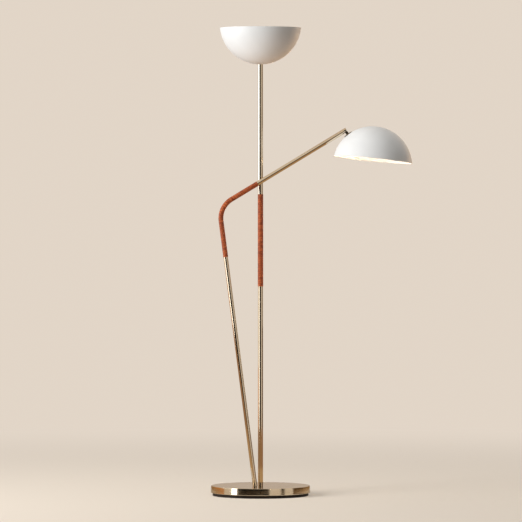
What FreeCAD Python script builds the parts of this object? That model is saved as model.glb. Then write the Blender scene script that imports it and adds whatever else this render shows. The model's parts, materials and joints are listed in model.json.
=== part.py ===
import FreeCAD, Part
import math
import os
import re
import Sketcher
from FreeCAD import Vector

# Torchiere floor lamp with a reading light, in millimetres and degrees.
# +Z is up, +X to the right as seen from the front, and the front is -Y.
# The origin is the centre of the underside of the base.

SIZES = {
    # Fits: radial clearances and seats
    "slip_fit": 0.05,
    "running_fit": 0.06,
    "seat_gap": 0.2,
    "swivel_gap": 0.3,
    "washer_play": 0.05,
    # Base
    "base_diameter": 375,
    "cover_height": 26,
    "cover_wall": 1.2,
    "cover_edge_radius": 3,
    "foot_ring_height": 11.5,
    "foot_ring_inset": 7,
    "foot_ring_width": 25,
    "foot_ring_chamfer": 0.8,
    "plate_thickness": 2,
    "plate_gap": 0.5,
    "weight_gap": 3,
    "weight_thickness": 14,
    "weight_chamfer": 2,
    "boss_diameter": 130,
    "recess_diameter": 110,
    "recess_depth": 13,
    "channel_width": 14,
    "channel_depth": 11,
    "screw_to_ring": 6,
    "screw_diameter": 5,
    "screw_grip": 8,
    "screw_head_diameter": 9,
    "screw_head_height": 2.5,
    "inlet_bore": 7,
    "inlet_diameter": 10,
    "inlet_flange_diameter": 14,
    "inlet_flange_thickness": 2,
    "block_side": 44,
    "block_height": 5,
    "block_corner": 3,
    # Feet of the tubes: hollow studs, washers and nuts
    "stud_diameter": 10,
    "stud_bore": 7,
    "nut_flats": 15,
    "nut_thickness": 5,
    "washer_thickness": 1.5,
    "washer_rim": 5,
    "stud_tail": 1,
    "stud_grip": 10,
    "plug_length": 22,
    # Stem
    "stem_diameter": 19,
    "stem_wall": 1.2,
    "stem_height": 1586,
    "stem_wrap_start": 750,
    "stem_wrap_length": 347,
    "leather_thickness": 0.9,
    "coupler_length": 30,
    "coupler_bore": 9,
    # Leg, elbow and arm: one bent tube in three sections
    "arm_diameter": 17,
    "arm_wall": 1.2,
    "tube_gap": 2.5,
    "leg_foot_left": 20.5,
    "leg_lean": 7.3,
    "corner_height": 1050,
    "arm_rise": 31.2,
    "bend_radius": 83,
    "elbow_leg_reach": 190.5,
    "wrap_to_stem": 12.5,
    "arm_past_stem": 377.5,
    "bridge_diameter": 12,
    # Leads inside the tubes
    "stem_lead_diameter": 5,
    "arm_lead_diameter": 4.2,
    "lead_foot_bend": 60,
    # Bowl
    "bowl_radius": 153.6,
    "bowl_wall": 1,
    "bowl_height": 137,
    "bowl_seat_radius": 15,
    # Knuckle at the end of the arm
    "barrel_length": 24,
    "spigot_length": 16,
    "barrel_bore": 6.4,
    "pivot_setback": 6,
    "neck_tilt": 6.3,
    "neck_reach": 18.5,
    "tongue_width": 10,
    "tongue_thickness": 9,
    "slot_room": 2.5,
    "slot_ceiling_room": 0.7,
    "shoulder_diameter": 13,
    "shoulder_height": 0.8,
    "neck_stud_diameter": 8,
    "neck_bore": 4.4,
    "neck_bore_top": 7.5,
    "pivot_diameter": 4,
    "pivot_head_diameter": 6.5,
    "pivot_head_height": 2,
    "pivot_head_sink": 2.2,
    "pivot_slot_width": 1,
    "pivot_washer_diameter": 9.5,
    "pivot_washer_thickness": 0.5,
    # Reading shade and its seat
    "reading_radius": 150,
    "reading_wall": 1,
    "reading_height": 126,
    "reading_tip": 6,
    "reading_turn": 2.5,
    "disc_diameter": 35,
    "disc_thickness": 3,
    "disc_hub_diameter": 15,
    "disc_edge": 2,
    "disc_edge_chamfer": 0.6,
    "reading_washer_diameter": 28,
    "reading_nut_flats": 13,
    "reading_nut_thickness": 4,
    # Lampholders
    "holder_wall": 1,
    "holder_round": 4,
    "holder_cap_height": 8,
    "holder_chamber": 5,
    "holder_lip": 1,
    "bowl_holder_diameter": 36,
    "bowl_holder_height": 48,
    "reading_holder_diameter": 25,
    "reading_holder_height": 38,
    # Switch knobs
    "knob_height": 14,
    "knob_shaft_diameter": 4,
    "knob_shaft_depth": 6,
    "knob_stand_off": 3,
    "knob_diameter": 9,
    "knob_length": 11,
    "knob_waist": 2,
    # Bulbs
    "bowl_thread_diameter": 26,
    "bowl_thread_depth": 26,
    "bowl_bulb_length": 78,
    "bowl_bulb_diameter": 60,
    "bowl_bulb_shoulder": 21,
    "reading_thread_diameter": 12,
    "reading_thread_depth": 18,
    "reading_bulb_length": 48,
    "reading_bulb_diameter": 40,
    "reading_bulb_shoulder": 27,
    "contact_height": 2,
    "bulb_wall": 0.8,
}

# ---- Formulas that several pieces share ----

BASE_RADIUS = "(base_diameter / 2)"
BASE_TOP = "(foot_ring_height + cover_height)"
PLATE_TOP = "(foot_ring_height + plate_thickness)"
CEILING = f"({BASE_TOP} - cover_wall)"
WEB_BOTTOM = f"({PLATE_TOP} + recess_depth)"
BLOCK_TOP = f"({PLATE_TOP} + block_height)"
WEIGHT_RADIUS = f"({BASE_RADIUS} - cover_wall - weight_gap)"
INLET_HEIGHT = f"({PLATE_TOP} + inlet_flange_diameter / 2)"

RING_OUTER = f"({BASE_RADIUS} - foot_ring_inset)"
RING_INNER = f"({RING_OUTER} - foot_ring_width)"
SCREW_FROM_AXIS = f"({RING_INNER} - screw_to_ring - screw_head_diameter / 2)"

STEM_BORE = "(stem_diameter - 2 * stem_wall)"
WRAP_BOTTOM = f"({BASE_TOP} + stem_wrap_start)"
WRAP_TOP = f"({WRAP_BOTTOM} + stem_wrap_length)"
STEM_TOP = f"({BASE_TOP} + stem_height)"

ARM_BORE = "(arm_diameter - 2 * arm_wall)"
FRONT_TUBE = "((stem_diameter + arm_diameter) / 2 + tube_gap)"
ARM_LEAN = "(90 - arm_rise)"
TURN = f"({ARM_LEAN} + leg_lean)"
TANGENT = f"(bend_radius * tan({TURN} / 2))"
CORNER_X = "(-leg_foot_left - corner_height * tan(leg_lean))"
CORNER_Z = f"({BASE_TOP} + corner_height)"
LEG_LENGTH = "(corner_height / cos(leg_lean) - elbow_leg_reach)"
CROSSING = f"(-{CORNER_X} / sin({ARM_LEAN}))"
WRAP_END = f"({CROSSING} - wrap_to_stem)"
ARM_END = f"({CROSSING} + arm_past_stem)"
PIVOT = f"({ARM_END} - pivot_setback)"

PIVOT_X = f"({CORNER_X} + {PIVOT} * sin({ARM_LEAN}))"
PIVOT_Z = f"({CORNER_Z} + {PIVOT} * cos({ARM_LEAN}))"
NECK_LEAN = "(arm_rise + neck_tilt)"
OFF_APEX = f"({NECK_LEAN} + reading_tip)"
SLOT_WIDTH = "(tongue_thickness + 2 * pivot_washer_thickness + 4 * washer_play)"
NECK_WASHER_BOTTOM = "(neck_reach + reading_wall + swivel_gap + washer_thickness)"
NECK_NUT_BOTTOM = f"({NECK_WASHER_BOTTOM} + reading_nut_thickness)"
BOWL_NUT_TOP = "(bowl_wall + washer_thickness + nut_thickness)"

# ---- The document and its sheet of sizes ----

document = FreeCAD.newDocument("FloorLamp")
sheet = document.addObject("Spreadsheet::Sheet", "Sizes")
for row, (alias, size) in enumerate(SIZES.items(), start=1):
    sheet.set(f"A{row}", alias)
    sheet.set(f"B{row}", str(size))
    sheet.setAlias(f"B{row}", alias)
document.recompute()

parts = []


def sized(formula):
    """The formula with each size named as a cell of the sheet."""
    return re.sub(r"[a-z][a-z_]+", lambda word: f"Sizes.{word[0]}" if word[0] in SIZES else word[0], formula)


def number(formula):
    """What the formula comes to now."""
    return float(sheet.evalExpression(sized(formula)))


def bind(feature, **formulas):
    """Ties properties of a feature to formulas of the sheet's sizes."""
    for name, formula in formulas.items():
        feature.setExpression(name, sized(formula))


def place(feature, x="0", y="0", z="0", turn="0", axis="0; 1; 0", spin="0", spin_axis="0; 0; 1"):
    """Spins a feature about an axis of its own, turns it, by default from +Z towards +X, and moves it to x, y, z."""
    turned_by = f"rotation(vector({axis}); {turn}) * rotation(vector({spin_axis}); {spin})"
    bind(feature, Placement=f"placement(vector({x}; {y}; {z}); {turned_by})")


# ---- Sketches ----

def sketch_on(body, role):
    """An empty sketch on one of the body's own origin planes."""
    sketch = body.newObject("Sketcher::SketchObject", "Outline")
    plane = next(item for item in body.Origin.OriginFeatures if item.Role == role)
    sketch.AttachmentSupport = [(plane, "")]
    sketch.MapMode = "FlatFace"
    sketch.Visibility = False
    return sketch


def pin_point(sketch, geometry, point, formulas):
    """Ties a point of the sketch to formulas for its place; None leaves that way free."""
    for kind, other_axis, formula in zip(("DistanceX", "DistanceY"), (-2, -1), formulas):
        if formula is None:
            continue
        if formula == "0":
            sketch.addConstraint(Sketcher.Constraint("PointOnObject", geometry, point, other_axis))
            continue
        constraint = Sketcher.Constraint(kind, -1, 1, geometry, point, number(formula))
        index = sketch.addConstraint(constraint)
        bind(sketch, **{f"Constraints[{index}]": formula})


def add_side(sketch, start, end, centre):
    """A line, or a short arc about a centre; gives its number and its first and last point."""
    if centre is None:
        return sketch.addGeometry(Part.LineSegment(start, end)), 1, 2
    from_start = start - centre
    from_end = end - centre
    first = math.atan2(from_start.y, from_start.x)
    last = math.atan2(from_end.y, from_end.x)
    sweep = (last - first + math.pi) % (2 * math.pi) - math.pi
    circle = Part.Circle(centre, Vector(0, 0, 1), from_start.Length)
    if sweep > 0:
        return sketch.addGeometry(Part.ArcOfCircle(circle, first, first + sweep)), 1, 2
    return sketch.addGeometry(Part.ArcOfCircle(circle, last, last - sweep)), 2, 1


def draw(sketch, corners, arcs=None, closed=True):
    """Draws an outline through corners; arcs gives the centre of each side that is one.

    The end of an arc is held only the way in which it moves most along the arc.
    """
    arcs = arcs or {}
    points = [Vector(number(x), number(y), 0) for x, y in corners]
    held = [list(corner) for corner in corners]
    sides = []
    for index in range(len(corners) if closed else len(corners) - 1):
        after = (index + 1) % len(corners)
        centre = None
        if index in arcs:
            centre = Vector(number(arcs[index][0]), number(arcs[index][1]), 0)
            reach = points[after] - centre
            held[after][0 if abs(reach.x) > abs(reach.y) else 1] = None
        sides.append(add_side(sketch, points[index], points[after], centre))
    for index, (geometry, first, last) in enumerate(sides):
        if closed or index + 1 < len(sides):
            next_geometry, next_first, _ = sides[(index + 1) % len(sides)]
            sketch.addConstraint(Sketcher.Constraint("Coincident", geometry, last, next_geometry, next_first))
        pin_point(sketch, geometry, first, held[index])
        if index in arcs:
            pin_point(sketch, geometry, 3, arcs[index])
    if not closed:
        pin_point(sketch, sides[-1][0], sides[-1][2], held[-1])


def draw_circles(sketch, *circles):
    """Draws circles, each given by formulas for its centre and its diameter."""
    for x, y, diameter in circles:
        centre = Vector(number(x), number(y), 0)
        circle = Part.Circle(centre, Vector(0, 0, 1), number(diameter) / 2)
        geometry = sketch.addGeometry(circle)
        pin_point(sketch, geometry, 3, (x, y))
        index = sketch.addConstraint(Sketcher.Constraint("Diameter", geometry, number(diameter)))
        bind(sketch, **{f"Constraints[{index}]": diameter})


# ---- Ways to make a piece ----

def new_body(label):
    body = document.addObject("PartDesign::Body", label)
    body.Label = label
    parts.append(body)
    return body


def turned(label, corners, arcs=None):
    """A piece turned about its own Z from an outline of radius and height."""
    body = new_body(label)
    sketch = sketch_on(body, "XZ_Plane")
    draw(sketch, corners, arcs)
    turning = body.newObject("PartDesign::Revolution", "Turning")
    turning.Profile = sketch
    turning.ReferenceAxis = (sketch, ["V_Axis"])
    turning.Angle = 360
    return body


def sleeve(label, inner, outer, bottom, top):
    """A round tube, ring or washer between two radii and two heights."""
    return turned(label, [(inner, bottom), (outer, bottom), (outer, top), (inner, top)])


def cut(body, sketch, side="One side", upwards=False, depth=None):
    """Cuts the sketch out of the body, all the way through or to a depth, and sees that it cuts."""
    document.recompute()
    whole = body.Shape.Volume
    pocket = body.newObject("PartDesign::Pocket", "Cut")
    pocket.Profile = sketch
    pocket.SideType = side
    pocket.Reversed = upwards
    if depth is None:
        pocket.Type = "ThroughAll"
    else:
        bind(pocket, Length=depth)
    document.recompute()
    if not body.Shape.Volume < whole:
        raise ValueError(f"{body.Label}: a cut misses the solid")
    return pocket


def drill(body, plane, x, y, diameter, side="One side", upwards=False, depth=None):
    """Cuts a round hole square to one of the body's planes."""
    sketch = sketch_on(body, plane)
    draw_circles(sketch, (x, y, diameter))
    return cut(body, sketch, side, upwards, depth)


def bore(body, radius, height, x="0", y="0", z="0", turn="0"):
    """Cuts a round hole that leans about Y, from x, y, z upwards."""
    document.recompute()
    whole = body.Shape.Volume
    tool = body.newObject("PartDesign::SubtractiveCylinder", "Bore")
    bind(tool, Radius=radius, Height=height)
    place(tool, x, y, z, turn)
    document.recompute()
    if not body.Shape.Volume < whole:
        raise ValueError(f"{body.Label}: a bore misses the solid")


def repeat_round(body, features, count):
    """Repeats features evenly round the body's own Z."""
    pattern = body.newObject("PartDesign::PolarPattern", "Repeat")
    pattern.Originals = features
    z_axis = next(item for item in body.Origin.OriginFeatures if item.Role == "Z_Axis")
    pattern.Axis = (z_axis, [""])
    pattern.Angle = 360
    pattern.Occurrences = count
    body.Tip = pattern


def swept(label, corners, arcs, *circles):
    """A rod or tube drawn along a route that starts upwards from the body's origin."""
    body = new_body(label)
    section = sketch_on(body, "XY_Plane")
    draw_circles(section, *[("0", "0", diameter) for diameter in circles])
    route = sketch_on(body, "XZ_Plane")
    draw(route, corners, arcs, closed=False)
    pipe = body.newObject("PartDesign::AdditivePipe", "Pipe")
    pipe.Profile = section
    pipe.Spine = route
    return body


def hex_nut(label, flats, thickness, hole):
    """A hexagon nut that stands on its own XY plane."""
    blank = document.addObject("Part::Prism", label + "_blank")
    blank.Polygon = 6
    bind(blank, Circumradius=f"{flats} / 2 / cos(30)", Height=thickness)
    thread = document.addObject("Part::Cylinder", label + "_thread")
    bind(thread, Radius=hole, Height=thickness)
    nut = document.addObject("Part::Cut", label)
    nut.Base = blank
    nut.Tool = thread
    nut.Label = label
    parts.append(nut)
    return nut


# ---- Places along the stem, the leg, the arm and the neck ----

def on_stem(feature, height, turn="0"):
    place(feature, z=height, turn=turn)


def on_leg(feature, distance):
    """Puts a piece on the leg's axis, a distance up from the top of the base."""
    place(
        feature,
        f"-leg_foot_left - {distance} * sin(leg_lean)",
        f"-{FRONT_TUBE}",
        f"{BASE_TOP} + {distance} * cos(leg_lean)",
        "-leg_lean",
    )


def on_arm(feature, distance):
    """Puts a piece on the arm's axis, a distance up from where it meets the leg's axis."""
    place(
        feature,
        f"{CORNER_X} + {distance} * sin({ARM_LEAN})",
        f"-{FRONT_TUBE}",
        f"{CORNER_Z} + {distance} * cos({ARM_LEAN})",
        ARM_LEAN,
    )


def on_neck(feature, distance, turn="0", spin="0"):
    """Puts a piece on the neck's axis, a distance from the pivot towards the shade, with +Z to the pivot.

    Turn leans it away from the neck, and spin then swings it about the neck."""
    place(
        feature,
        f"{PIVOT_X} + {distance} * sin({NECK_LEAN})",
        f"-{FRONT_TUBE}",
        f"{PIVOT_Z} - {distance} * cos({NECK_LEAN})",
        f"{turn} - {NECK_LEAN}",
        spin=spin,
        spin_axis=f"-sin({turn}); 0; cos({turn})",
    )


# ---- Base ----

def make_base():
    """Rubber ring, closing plate, cast weight and spun brass cover, from the floor upwards."""
    turned("foot_ring", [
        (RING_INNER, "0"),
        (f"{RING_OUTER} - foot_ring_chamfer", "0"),
        (RING_OUTER, "foot_ring_chamfer"),
        (RING_OUTER, "foot_ring_height"),
        (RING_INNER, "foot_ring_height"),
    ])

    plate_radius = f"({BASE_RADIUS} - cover_wall - plate_gap)"
    plate = turned("base_plate", [
        ("0", "foot_ring_height"),
        (plate_radius, "foot_ring_height"),
        (plate_radius, PLATE_TOP),
        ("0", PLATE_TOP),
    ])
    screw_hole = drill(plate, "XY_Plane", SCREW_FROM_AXIS, "0", "screw_diameter + 2 * slip_fit", upwards=True)
    repeat_round(plate, [screw_hole], 4)

    make_weight()
    make_cover()
    make_plate_screws()

    block = new_body("junction_block")
    base = block.newObject("PartDesign::AdditiveBox", "Block")
    bind(base, Length="block_side", Width="block_side", Height="block_height")
    place(base, "-block_side / 2", "-block_side / 2")
    document.recompute()
    upright = [
        f"Edge{index}" for index, edge in enumerate(base.Shape.Edges, start=1)
        if abs(edge.tangentAt(edge.FirstParameter).z) > 0.99
    ]
    rounding = block.newObject("PartDesign::Fillet", "Corners")
    rounding.Base = (base, upright)
    bind(rounding, Radius="block_corner")
    place(block, "-leg_foot_left / 2", f"-{FRONT_TUBE} / 2", PLATE_TOP)

    bush = turned("cord_inlet_bush", [
        ("inlet_bore / 2", "-cover_wall - weight_gap / 2"),
        ("inlet_diameter / 2", "-cover_wall - weight_gap / 2"),
        ("inlet_diameter / 2", "0"),
        ("inlet_flange_diameter / 2", "0"),
        ("inlet_flange_diameter / 2", "inlet_flange_thickness / 2"),
        ("inlet_diameter / 2", "inlet_flange_thickness"),
        ("inlet_bore / 2", "inlet_flange_thickness"),
    ])
    place(bush, y=BASE_RADIUS, z=INLET_HEIGHT, turn="-90", axis="1; 0; 0")


def make_weight():
    """Cast iron disc with a boss under the tubes, a wiring recess below it and a channel to the back."""
    weight = turned("base_weight", [
        ("recess_diameter / 2", PLATE_TOP),
        (WEIGHT_RADIUS, PLATE_TOP),
        (WEIGHT_RADIUS, f"{PLATE_TOP} + weight_thickness - weight_chamfer"),
        (f"{WEIGHT_RADIUS} - weight_chamfer", f"{PLATE_TOP} + weight_thickness"),
        ("boss_diameter / 2", f"{PLATE_TOP} + weight_thickness"),
        ("boss_diameter / 2", CEILING),
        ("stud_diameter / 2 + slip_fit", CEILING),
        ("stud_diameter / 2 + slip_fit", WEB_BOTTOM),
        ("recess_diameter / 2", WEB_BOTTOM),
    ])
    drill(weight, "XY_Plane", "-leg_foot_left", f"-{FRONT_TUBE}", "stud_diameter + 2 * slip_fit",
          upwards=True)
    channel = sketch_on(weight, "XY_Plane")
    draw(channel, [
        ("-channel_width / 2", "0"),
        ("channel_width / 2", "0"),
        ("channel_width / 2", BASE_RADIUS),
        ("-channel_width / 2", BASE_RADIUS),
    ])
    cut(weight, channel, upwards=True, depth=f"{PLATE_TOP} + channel_depth")
    screw_hole = drill(weight, "XY_Plane", SCREW_FROM_AXIS, "0", "screw_diameter + 2 * slip_fit",
                       upwards=True, depth=f"{PLATE_TOP} + screw_grip + screw_head_height")
    repeat_round(weight, [screw_hole], 4)


def make_cover():
    """Spun brass cover: flat top, small rounded edge and upright rim, open below."""
    round_radius = f"({BASE_RADIUS} - cover_edge_radius)"
    round_height = f"({BASE_TOP} - cover_edge_radius)"
    hole = "(stud_diameter / 2 + slip_fit)"
    cover = turned("base_cover", [
        (BASE_RADIUS, "foot_ring_height"),
        (BASE_RADIUS, round_height),
        (round_radius, BASE_TOP),
        (hole, BASE_TOP),
        (hole, CEILING),
        (round_radius, CEILING),
        (f"{BASE_RADIUS} - cover_wall", round_height),
        (f"{BASE_RADIUS} - cover_wall", "foot_ring_height"),
    ], {1: (round_radius, round_height), 5: (round_radius, round_height)})
    drill(cover, "XY_Plane", "-leg_foot_left", f"-{FRONT_TUBE}", "stud_diameter + 2 * slip_fit",
          upwards=True)
    drill(cover, "XZ_Plane", "0", INLET_HEIGHT, "inlet_diameter + 2 * slip_fit")


def make_plate_screws():
    """Four screws that hold the plate to the weight from below."""
    screws = new_body("plate_screws")
    head = screws.newObject("PartDesign::AdditiveCylinder", "Head")
    bind(head, Radius="screw_head_diameter / 2", Height="screw_head_height")
    place(head, SCREW_FROM_AXIS, z="foot_ring_height - screw_head_height")
    shank = screws.newObject("PartDesign::AdditiveCylinder", "Shank")
    bind(shank, Radius="screw_diameter / 2", Height="plate_thickness + screw_grip")
    place(shank, SCREW_FROM_AXIS, z="foot_ring_height")
    repeat_round(screws, [head, shank], 4)


def make_foot_fixing(tube, x, y):
    """Hollow stud, washer and nut that hold the foot of a tube down on the base."""
    stud_radius = "(stud_diameter / 2)"
    washer_bottom = f"({WEB_BOTTOM} - washer_thickness)"
    nut_bottom = f"({washer_bottom} - nut_thickness)"
    stud = sleeve(f"{tube}_foot_stud", "stud_bore / 2", stud_radius,
                  f"{nut_bottom} - stud_tail", f"{BASE_TOP} + stud_grip")
    place(stud, x, y)
    washer = sleeve(f"{tube}_foot_washer", f"{stud_radius} + slip_fit", f"{stud_radius} + washer_rim",
                    washer_bottom, WEB_BOTTOM)
    place(washer, x, y)
    nut = hex_nut(f"{tube}_foot_nut", "nut_flats", "nut_thickness", f"{stud_radius} + slip_fit")
    place(nut, x, y, nut_bottom)


# ---- Stem ----

def make_stem():
    """Three brass sections joined by hollow couplers; the middle one is wrapped in leather."""
    radius = "(stem_diameter / 2)"
    inner = f"({STEM_BORE} / 2)"
    plug = f"({inner} - slip_fit)"
    for label, bottom, top in (
        ("stem_lower_tube", BASE_TOP, WRAP_BOTTOM),
        ("stem_middle_tube", WRAP_BOTTOM, WRAP_TOP),
        ("stem_upper_tube", WRAP_TOP, STEM_TOP),
    ):
        sleeve(label, inner, radius, bottom, top)
    for label, height in (("stem_lower_coupler", WRAP_BOTTOM), ("stem_upper_coupler", WRAP_TOP)):
        sleeve(label, "coupler_bore / 2", plug, f"{height} - coupler_length / 2", f"{height} + coupler_length / 2")
    sleeve("stem_leather_wrap", f"{radius} + slip_fit", f"{radius} + slip_fit + leather_thickness",
           WRAP_BOTTOM, WRAP_TOP)
    thread = "(stud_diameter / 2 + slip_fit)"
    sleeve("stem_foot_plug", thread, plug, BASE_TOP, f"{BASE_TOP} + plug_length")
    sleeve("stem_top_plug", thread, plug, f"{STEM_TOP} - plug_length", STEM_TOP)
    sleeve("stem_lead", "0", "stem_lead_diameter / 2", BLOCK_TOP, f"{STEM_TOP} + {BOWL_NUT_TOP} + holder_chamber")


# ---- Leg, elbow and arm ----

def mitre(body):
    """Cuts the foot of a leaning piece level with the top of the base."""
    sketch = sketch_on(body, "XZ_Plane")
    draw(sketch, [
        ("-arm_diameter", "arm_diameter * tan(leg_lean)"),
        ("arm_diameter", "-arm_diameter * tan(leg_lean)"),
        ("arm_diameter", "-arm_diameter"),
        ("-arm_diameter", "-arm_diameter"),
    ])
    cut(body, sketch, side="Symmetric")


def make_bent_tube():
    """Leg, elbow and arm: one brass tube in front of the stem, in three sections."""
    radius = "(arm_diameter / 2)"
    inner = f"({ARM_BORE} / 2)"
    plug_radius = f"({inner} - slip_fit)"

    leg = sleeve("leg_tube", inner, radius, "-arm_diameter / 2", LEG_LENGTH)
    mitre(leg)
    on_leg(leg, "0")
    plug = sleeve("leg_foot_plug", "stud_bore / 2", plug_radius, "-arm_diameter / 2", "plug_length")
    mitre(plug)
    bore(plug, "stud_diameter / 2 + slip_fit", "arm_diameter + stud_grip",
         x="-arm_diameter * sin(leg_lean)", z="-arm_diameter * cos(leg_lean)", turn="leg_lean")
    on_leg(plug, "0")

    straight = f"(elbow_leg_reach - {TANGENT})"
    arm_straight = f"({WRAP_END} - {TANGENT})"
    bend_x = f"(bend_radius * (1 - cos({TURN})))"
    bend_z = f"({straight} + bend_radius * sin({TURN}))"
    corners = [
        ("0", "0"),
        ("0", straight),
        (bend_x, bend_z),
        (f"{bend_x} + {arm_straight} * sin({TURN})", f"{bend_z} + {arm_straight} * cos({TURN})"),
    ]
    arcs = {1: ("bend_radius", straight)}
    on_leg(swept("elbow_tube", corners, arcs, "arm_diameter", ARM_BORE), LEG_LENGTH)
    skin = "(arm_diameter + 2 * slip_fit)"
    on_leg(swept("elbow_leather_wrap", corners, arcs, f"{skin} + 2 * leather_thickness", skin), LEG_LENGTH)

    on_arm(sleeve("arm_tube", inner, radius, WRAP_END, f"{ARM_END} - barrel_length"), "0")
    for label, put, distance in (
        ("leg_coupler", on_leg, LEG_LENGTH),
        ("arm_coupler", on_arm, WRAP_END),
    ):
        put(sleeve(label, "coupler_bore / 2", plug_radius, "-coupler_length / 2", "coupler_length / 2"), distance)
    make_bridge()
    make_arm_lead()


def make_bridge():
    """Brazed block between stem and arm where they cross, hollowed to both tubes."""
    blank = document.addObject("Part::Cylinder", "bridge_blank")
    bind(blank, Radius="bridge_diameter / 2", Height=FRONT_TUBE)
    crossing_z = f"{CORNER_Z} + {CROSSING} * cos({ARM_LEAN})"
    place(blank, z=crossing_z, turn="90", axis="1; 0; 0")
    stem_hollow = document.addObject("Part::Cylinder", "stem_hollow")
    bind(stem_hollow, Radius="stem_diameter / 2 + slip_fit", Height="4 * bridge_diameter")
    place(stem_hollow, z=f"{crossing_z} - 2 * bridge_diameter")
    arm_hollow = document.addObject("Part::Cylinder", "arm_hollow")
    bind(arm_hollow, Radius="arm_diameter / 2 + slip_fit", Height="4 * bridge_diameter")
    on_arm(arm_hollow, f"({CROSSING} - 2 * bridge_diameter)")
    hollows = document.addObject("Part::MultiFuse", "hollows")
    hollows.Shapes = [stem_hollow, arm_hollow]
    bridge = document.addObject("Part::Cut", "tube_bridge")
    bridge.Base = blank
    bridge.Tool = hollows
    bridge.Label = "tube_bridge"
    parts.append(bridge)


def make_arm_lead():
    """Lead from the junction block up through leg, elbow and arm to the knuckle."""
    rise = f"({BASE_TOP} - {BLOCK_TOP})"
    foot_tangent = "(lead_foot_bend * tan(leg_lean / 2))"
    corner_x = "(-corner_height * tan(leg_lean))"
    corner_z = f"({rise} + corner_height)"
    bend_start_x = f"({corner_x} + {TANGENT} * sin(leg_lean))"
    bend_start_z = f"({corner_z} - {TANGENT} * cos(leg_lean))"
    arm_end = f"({PIVOT} - tongue_width / 2 - slot_room)"
    lead = swept("arm_lead", [
        ("0", "0"),
        ("0", f"{rise} - {foot_tangent}"),
        (f"-{foot_tangent} * sin(leg_lean)", f"{rise} + {foot_tangent} * cos(leg_lean)"),
        (bend_start_x, bend_start_z),
        (f"{corner_x} + {TANGENT} * sin({ARM_LEAN})", f"{corner_z} + {TANGENT} * cos({ARM_LEAN})"),
        (f"{corner_x} + {arm_end} * sin({ARM_LEAN})", f"{corner_z} + {arm_end} * cos({ARM_LEAN})"),
    ], {
        1: ("-lead_foot_bend", f"{rise} - {foot_tangent}"),
        3: (f"{bend_start_x} + bend_radius * cos(leg_lean)", f"{bend_start_z} + bend_radius * sin(leg_lean)"),
    }, "arm_lead_diameter")
    place(lead, "-leg_foot_left", f"-{FRONT_TUBE}", BLOCK_TOP)


# ---- Lights ----

def make_bowl():
    """White spun bowl, clamped on the stem's top by a hollow stud, washer and nut."""
    centre = "sqrt(bowl_radius ^ 2 - bowl_seat_radius ^ 2)"
    inside = "(bowl_radius - bowl_wall)"
    hole = "(stud_diameter / 2 + slip_fit)"
    bowl = turned("bowl_shade", [
        (f"sqrt(bowl_radius ^ 2 - ({centre} - bowl_height) ^ 2)", "bowl_height"),
        ("bowl_seat_radius", "0"),
        (hole, "0"),
        (hole, "bowl_wall"),
        (f"sqrt({inside} ^ 2 - ({centre} - bowl_wall) ^ 2)", "bowl_wall"),
        (f"sqrt({inside} ^ 2 - ({centre} - bowl_height) ^ 2)", "bowl_height"),
    ], {0: ("0", centre), 4: ("0", centre)})
    on_stem(bowl, STEM_TOP)
    stud = sleeve("bowl_stud", "stud_bore / 2", "stud_diameter / 2",
                  "-stud_grip", f"{BOWL_NUT_TOP} + holder_wall + stud_tail")
    on_stem(stud, STEM_TOP)
    washer = sleeve("bowl_washer", hole, "bowl_seat_radius - bowl_wall", "bowl_wall", "bowl_wall + washer_thickness")
    on_stem(washer, STEM_TOP)
    nut = hex_nut("bowl_nut", "nut_flats", "nut_thickness", hole)
    on_stem(nut, f"{STEM_TOP} + bowl_wall + washer_thickness")


def make_knuckle():
    """Slotted brass barrel in the arm's end, and the tongue that tilts in it on a screw."""
    radius = "(arm_diameter / 2)"
    inner = "(barrel_bore / 2)"
    spigot = f"({ARM_BORE} / 2 - slip_fit)"
    back = "(pivot_setback - barrel_length)"
    barrel = turned("knuckle_barrel", [
        (inner, f"{back} - spigot_length"),
        (spigot, f"{back} - spigot_length"),
        (spigot, back),
        (radius, back),
        (radius, "pivot_setback"),
        (inner, "pivot_setback"),
    ])
    slot = sketch_on(barrel, "XZ_Plane")
    draw(slot, [
        ("-tongue_width / 2 - slot_ceiling_room", "-tongue_width / 2 - slot_room"),
        ("arm_diameter", "-tongue_width / 2 - slot_room"),
        ("arm_diameter", "arm_diameter"),
        ("-tongue_width / 2 - slot_ceiling_room", "arm_diameter"),
    ])
    cut(barrel, slot, side="Symmetric", depth=SLOT_WIDTH)
    drill(barrel, "XZ_Plane", "0", "0", "pivot_diameter + 2 * slip_fit", side="Symmetric")
    sink = barrel.newObject("PartDesign::SubtractiveCylinder", "HeadSink")
    bind(sink, Radius="pivot_head_diameter / 2 + slip_fit", Height="pivot_head_sink")
    place(sink, y=f"pivot_head_sink - {radius}", turn="90", axis="1; 0; 0")
    on_arm(barrel, PIVOT)

    make_tongue()
    make_pivot_screw()

    washers = new_body("pivot_washers")
    outline = sketch_on(washers, "XZ_Plane")
    washer_inner = "(tongue_thickness / 2 + washer_play)"
    draw(outline, [
        ("pivot_diameter / 2 + slip_fit", washer_inner),
        ("pivot_washer_diameter / 2", washer_inner),
        ("pivot_washer_diameter / 2", f"{washer_inner} + pivot_washer_thickness"),
        ("pivot_diameter / 2 + slip_fit", f"{washer_inner} + pivot_washer_thickness"),
    ])
    ring = washers.newObject("PartDesign::Revolution", "Ring")
    ring.Profile = outline
    ring.ReferenceAxis = (outline, ["V_Axis"])
    ring.Angle = 360
    pair = washers.newObject("PartDesign::Mirrored", "Pair")
    pair.Originals = [ring]
    middle = next(item for item in washers.Origin.OriginFeatures if item.Role == "XY_Plane")
    pair.MirrorPlane = (middle, [""])
    washers.Tip = pair
    place(washers, PIVOT_X, f"-{FRONT_TUBE}", PIVOT_Z, "90", "1; 0; 0")


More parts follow.
